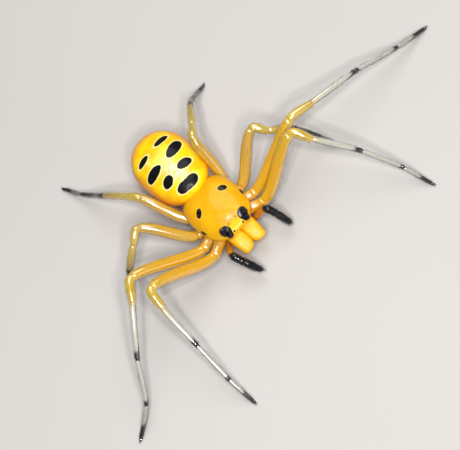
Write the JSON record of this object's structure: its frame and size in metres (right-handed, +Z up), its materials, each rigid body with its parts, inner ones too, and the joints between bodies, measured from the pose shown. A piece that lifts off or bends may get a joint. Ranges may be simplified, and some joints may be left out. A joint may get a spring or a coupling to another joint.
{
  "type": "crab spider",
  "caption": "Long-legged spotted crab spider as a still life-size model, standing on its feet with legs spread.",
  "frame": {"origin": "on the floor, under the middle of the whole outline", "axes": "+Z up; -Y the way the head looks; +X the animal's left side, along the span of its legs"},
  "size_m": [0.0504, 0.0318, 0.0074],
  "materials": {
    "orange_cuticle": "glossy orange-yellow cuticle",
    "yellow_cuticle": "glossy bright yellow cuticle with dark spots",
    "leg_yellow": "semi-gloss honey yellow cuticle",
    "leg_grey": "satin whitish grey cuticle with black bands",
    "gloss_black": "glossy black"
  },
  "bodies": {
    "root": {"carapace": "orange_cuticle", "sternum": "orange_cuticle", "pedicel": "orange_cuticle", "chelicera_left": "orange_cuticle", "chelicera_right": "orange_cuticle", "palp_left_base": "orange_cuticle", "palp_right_base": "orange_cuticle", "palp_left_tip": "gloss_black", "palp_right_tip": "gloss_black", "abdomen": "yellow_cuticle", "spinnerets": "yellow_cuticle", "eye_front_side_left": "gloss_black", "eye_front_side_right": "gloss_black", "eye_rear_side_left": "gloss_black", "eye_rear_side_right": "gloss_black", "eye_front_middle_left": "gloss_black", "eye_front_middle_right": "gloss_black", "eye_rear_middle_left": "gloss_black", "eye_rear_middle_right": "gloss_black", "leg_left_1_coxa": "orange_cuticle", "leg_left_1_femur": "leg_yellow", "leg_left_1_patella": "leg_yellow", "leg_left_1_tibia": "leg_grey", "leg_left_1_foot": "leg_grey", "leg_right_1_coxa": "orange_cuticle", "leg_right_1_femur": "leg_yellow", "leg_right_1_patella": "leg_yellow", "leg_right_1_tibia": "leg_grey", "leg_right_1_foot": "leg_grey", "leg_left_2_coxa": "orange_cuticle", "leg_left_2_femur": "leg_yellow", "leg_left_2_patella": "leg_yellow", "leg_left_2_tibia": "leg_grey", "leg_left_2_foot": "leg_grey", "leg_right_2_coxa": "orange_cuticle", "leg_right_2_femur": "leg_yellow", "leg_right_2_patella": "leg_yellow", "leg_right_2_tibia": "leg_grey", "leg_right_2_foot": "leg_grey", "leg_left_3_coxa": "orange_cuticle", "leg_left_3_femur": "leg_yellow", "leg_left_3_patella": "leg_yellow", "leg_left_3_tibia": "leg_grey", "leg_left_3_foot": "leg_grey", "leg_right_3_coxa": "orange_cuticle", "leg_right_3_femur": "leg_yellow", "leg_right_3_patella": "leg_yellow", "leg_right_3_tibia": "leg_grey", "leg_right_3_foot": "leg_grey", "leg_left_4_coxa": "orange_cuticle", "leg_left_4_femur": "leg_yellow", "leg_left_4_patella": "leg_yellow", "leg_left_4_tibia": "leg_grey", "leg_left_4_foot": "leg_grey", "leg_right_4_coxa": "orange_cuticle", "leg_right_4_femur": "leg_yellow", "leg_right_4_patella": "leg_yellow", "leg_right_4_tibia": "leg_grey", "leg_right_4_foot": "leg_grey"}
  },
  "joints": []
}
